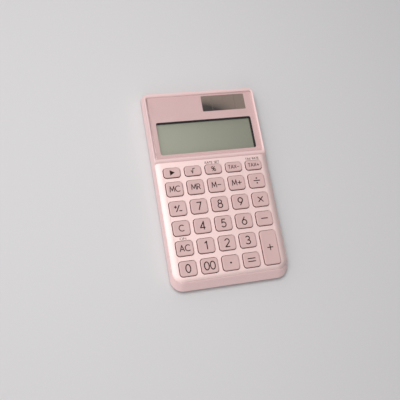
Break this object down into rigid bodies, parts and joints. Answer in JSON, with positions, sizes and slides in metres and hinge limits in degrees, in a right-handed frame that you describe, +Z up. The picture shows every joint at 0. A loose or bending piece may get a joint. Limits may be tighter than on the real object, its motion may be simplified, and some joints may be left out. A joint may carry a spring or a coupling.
{
  "type": "calculator",
  "caption": "Slim solar calculator: crowned two-part housing, recessed display window, solar cell and a grid of keys that press down and spring back.",
  "frame": {"origin": "on the desk, under the middle of the housing's outline", "axes": "+X to the right of the keys, +Y towards the display, +Z up out of the keys"},
  "size_m": [0.0712, 0.1204, 0.009],
  "materials": {
    "chip_tan": "ceramic chips",
    "screw_steel": "plain steel",
    "cell_steel": "bright steel",
    "lead_black": "black sleeve",
    "lead_red": "red sleeve",
    "contact_nickel": "nickel plate",
    "blob_black": "black resin",
    "frame_black": "black, dull",
    "window_clear": "clear, polished",
    "case_pink": "satin pink moulding",
    "key_pink": "satin pink",
    "mat_grey": "translucent grey rubber",
    "plate_pearl": "pale pearl pink, semi gloss",
    "lcd_glass": "thin glass",
    "lcd_face": "grey green film",
    "lcd_back": "dull silver film",
    "ribbon_foil": "amber foil",
    "board_tan": "green board",
    "cover_pink": "fine matt pink moulding",
    "foot_rubber": "dark grey rubber",
    "solar_brown": "dark brown cell behind glass",
    "mask_pink": "pink print, even"
  },
  "bodies": {
    "case": {"board_parts": "chip_tan", "board_screws": "screw_steel", "button_cell": "cell_steel", "case_screws": "screw_steel", "cell_lead_black": "lead_black", "cell_lead_red": "lead_red", "cell_minus_contact": "contact_nickel", "cell_plus_contact": "contact_nickel", "chip_blob": "blob_black", "display_frame": "frame_black", "display_window": "window_clear", "front_case": "case_pink", "key_mat": "mat_grey", "key_plate": "plate_pearl", "lcd_front_glass": "lcd_glass", "lcd_polariser": "lcd_face", "lcd_rear_glass": "lcd_glass", "lcd_reflector": "lcd_back", "lcd_ribbon": "ribbon_foil", "main_board": "board_tan", "rear_cover": "cover_pink", "rubber_feet": "foot_rubber", "solar_cell": "solar_brown", "solar_lead_black": "lead_black", "solar_lead_red": "lead_red", "window_mask": "mask_pink"},
    "key_0": {"key_0": "key_pink"},
    "key_1": {"key_1": "key_pink"},
    "key_2": {"key_2": "key_pink"},
    "key_3": {"key_3": "key_pink"},
    "key_4": {"key_4": "key_pink"},
    "key_5": {"key_5": "key_pink"},
    "key_6": {"key_6": "key_pink"},
    "key_7": {"key_7": "key_pink"},
    "key_8": {"key_8": "key_pink"},
    "key_9": {"key_9": "key_pink"},
    "key_all_clear": {"key_all_clear": "key_pink"},
    "key_backspace": {"key_backspace": "key_pink"},
    "key_clear": {"key_clear": "key_pink"},
    "key_divide": {"key_divide": "key_pink"},
    "key_double_zero": {"key_double_zero": "key_pink"},
    "key_equals": {"key_equals": "key_pink"},
    "key_memory_clear": {"key_memory_clear": "key_pink"},
    "key_memory_minus": {"key_memory_minus": "key_pink"},
    "key_memory_plus": {"key_memory_plus": "key_pink"},
    "key_memory_recall": {"key_memory_recall": "key_pink"},
    "key_minus": {"key_minus": "key_pink"},
    "key_multiply": {"key_multiply": "key_pink"},
    "key_percent": {"key_percent": "key_pink"},
    "key_plus": {"key_plus": "key_pink"},
    "key_point": {"key_point": "key_pink"},
    "key_root": {"key_root": "key_pink"},
    "key_sign": {"key_sign": "key_pink"},
    "key_tax_minus": {"key_tax_minus": "key_pink"},
    "key_tax_plus": {"key_tax_plus": "key_pink"}
  },
  "joints": [
    {"name": "key_0_press", "type": "slide", "parent": "case", "child": "key_0", "axis": [0, 0, -1], "range_m": [0, 0.0007], "stiffness_N_per_m": 700, "springref_m": -0.0004, "deforming": ["key_mat"]},
    {"name": "key_1_press", "type": "slide", "parent": "case", "child": "key_1", "axis": [0, 0, -1], "range_m": [0, 0.0007], "stiffness_N_per_m": 700, "springref_m": -0.0004, "deforming": ["key_mat"]},
    {"name": "key_2_press", "type": "slide", "parent": "case", "child": "key_2", "axis": [0, 0, -1], "range_m": [0, 0.0007], "stiffness_N_per_m": 700, "springref_m": -0.0004, "deforming": ["key_mat"]},
    {"name": "key_3_press", "type": "slide", "parent": "case", "child": "key_3", "axis": [0, 0, -1], "range_m": [0, 0.0007], "stiffness_N_per_m": 700, "springref_m": -0.0004, "deforming": ["key_mat"]},
    {"name": "key_4_press", "type": "slide", "parent": "case", "child": "key_4", "axis": [0, 0, -1], "range_m": [0, 0.0007], "stiffness_N_per_m": 700, "springref_m": -0.0004, "deforming": ["key_mat"]},
    {"name": "key_5_press", "type": "slide", "parent": "case", "child": "key_5", "axis": [0, 0, -1], "range_m": [0, 0.0007], "stiffness_N_per_m": 700, "springref_m": -0.0004, "deforming": ["key_mat"]},
    {"name": "key_6_press", "type": "slide", "parent": "case", "child": "key_6", "axis": [0, 0, -1], "range_m": [0, 0.0007], "stiffness_N_per_m": 700, "springref_m": -0.0004, "deforming": ["key_mat"]},
    {"name": "key_7_press", "type": "slide", "parent": "case", "child": "key_7", "axis": [0, 0, -1], "range_m": [0, 0.0007], "stiffness_N_per_m": 700, "springref_m": -0.0004, "deforming": ["key_mat"]},
    {"name": "key_8_press", "type": "slide", "parent": "case", "child": "key_8", "axis": [0, 0, -1], "range_m": [0, 0.0007], "stiffness_N_per_m": 700, "springref_m": -0.0004, "deforming": ["key_mat"]},
    {"name": "key_9_press", "type": "slide", "parent": "case", "child": "key_9", "axis": [0, 0, -1], "range_m": [0, 0.0007], "stiffness_N_per_m": 700, "springref_m": -0.0004, "deforming": ["key_mat"]},
    {"name": "key_all_clear_press", "type": "slide", "parent": "case", "child": "key_all_clear", "axis": [0, 0, -1], "range_m": [0, 0.0007], "stiffness_N_per_m": 700, "springref_m": -0.0004, "deforming": ["key_mat"]},
    {"name": "key_backspace_press", "type": "slide", "parent": "case", "child": "key_backspace", "axis": [0, 0, -1], "range_m": [0, 0.0007], "stiffness_N_per_m": 700, "springref_m": -0.0004, "deforming": ["key_mat"]},
    {"name": "key_clear_press", "type": "slide", "parent": "case", "child": "key_clear", "axis": [0, 0, -1], "range_m": [0, 0.0007], "stiffness_N_per_m": 700, "springref_m": -0.0004, "deforming": ["key_mat"]},
    {"name": "key_divide_press", "type": "slide", "parent": "case", "child": "key_divide", "axis": [0, 0, -1], "range_m": [0, 0.0007], "stiffness_N_per_m": 700, "springref_m": -0.0004, "deforming": ["key_mat"]},
    {"name": "key_double_zero_press", "type": "slide", "parent": "case", "child": "key_double_zero", "axis": [0, 0, -1], "range_m": [0, 0.0007], "stiffness_N_per_m": 700, "springref_m": -0.0004, "deforming": ["key_mat"]},
    {"name": "key_equals_press", "type": "slide", "parent": "case", "child": "key_equals", "axis": [0, 0, -1], "range_m": [0, 0.0007], "stiffness_N_per_m": 700, "springref_m": -0.0004, "deforming": ["key_mat"]},
    {"name": "key_memory_clear_press", "type": "slide", "parent": "case", "child": "key_memory_clear", "axis": [0, 0, -1], "range_m": [0, 0.0007], "stiffness_N_per_m": 700, "springref_m": -0.0004, "deforming": ["key_mat"]},
    {"name": "key_memory_minus_press", "type": "slide", "parent": "case", "child": "key_memory_minus", "axis": [0, 0, -1], "range_m": [0, 0.0007], "stiffness_N_per_m": 700, "springref_m": -0.0004, "deforming": ["key_mat"]},
    {"name": "key_memory_plus_press", "type": "slide", "parent": "case", "child": "key_memory_plus", "axis": [0, 0, -1], "range_m": [0, 0.0007], "stiffness_N_per_m": 700, "springref_m": -0.0004, "deforming": ["key_mat"]},
    {"name": "key_memory_recall_press", "type": "slide", "parent": "case", "child": "key_memory_recall", "axis": [0, 0, -1], "range_m": [0, 0.0007], "stiffness_N_per_m": 700, "springref_m": -0.0004, "deforming": ["key_mat"]},
    {"name": "key_minus_press", "type": "slide", "parent": "case", "child": "key_minus", "axis": [0, 0, -1], "range_m": [0, 0.0007], "stiffness_N_per_m": 700, "springref_m": -0.0004, "deforming": ["key_mat"]},
    {"name": "key_multiply_press", "type": "slide", "parent": "case", "child": "key_multiply", "axis": [0, 0, -1], "range_m": [0, 0.0007], "stiffness_N_per_m": 700, "springref_m": -0.0004, "deforming": ["key_mat"]},
    {"name": "key_percent_press", "type": "slide", "parent": "case", "child": "key_percent", "axis": [0, 0, -1], "range_m": [0, 0.0007], "stiffness_N_per_m": 700, "springref_m": -0.0004, "deforming": ["key_mat"]},
    {"name": "key_plus_press", "type": "slide", "parent": "case", "child": "key_plus", "axis": [0, 0, -1], "range_m": [0, 0.0007], "stiffness_N_per_m": 700, "springref_m": -0.0004, "deforming": ["key_mat"]},
    {"name": "key_point_press", "type": "slide", "parent": "case", "child": "key_point", "axis": [0, 0, -1], "range_m": [0, 0.0007], "stiffness_N_per_m": 700, "springref_m": -0.0004, "deforming": ["key_mat"]},
    {"name": "key_root_press", "type": "slide", "parent": "case", "child": "key_root", "axis": [0, 0, -1], "range_m": [0, 0.0007], "stiffness_N_per_m": 700, "springref_m": -0.0004, "deforming": ["key_mat"]},
    {"name": "key_sign_press", "type": "slide", "parent": "case", "child": "key_sign", "axis": [0, 0, -1], "range_m": [0, 0.0007], "stiffness_N_per_m": 700, "springref_m": -0.0004, "deforming": ["key_mat"]},
    {"name": "key_tax_minus_press", "type": "slide", "parent": "case", "child": "key_tax_minus", "axis": [0, 0, -1], "range_m": [0, 0.0007], "stiffness_N_per_m": 700, "springref_m": -0.0004, "deforming": ["key_mat"]},
    {"name": "key_tax_plus_press", "type": "slide", "parent": "case", "child": "key_tax_plus", "axis": [0, 0, -1], "range_m": [0, 0.0007], "stiffness_N_per_m": 700, "springref_m": -0.0004, "deforming": ["key_mat"]}
  ]
}
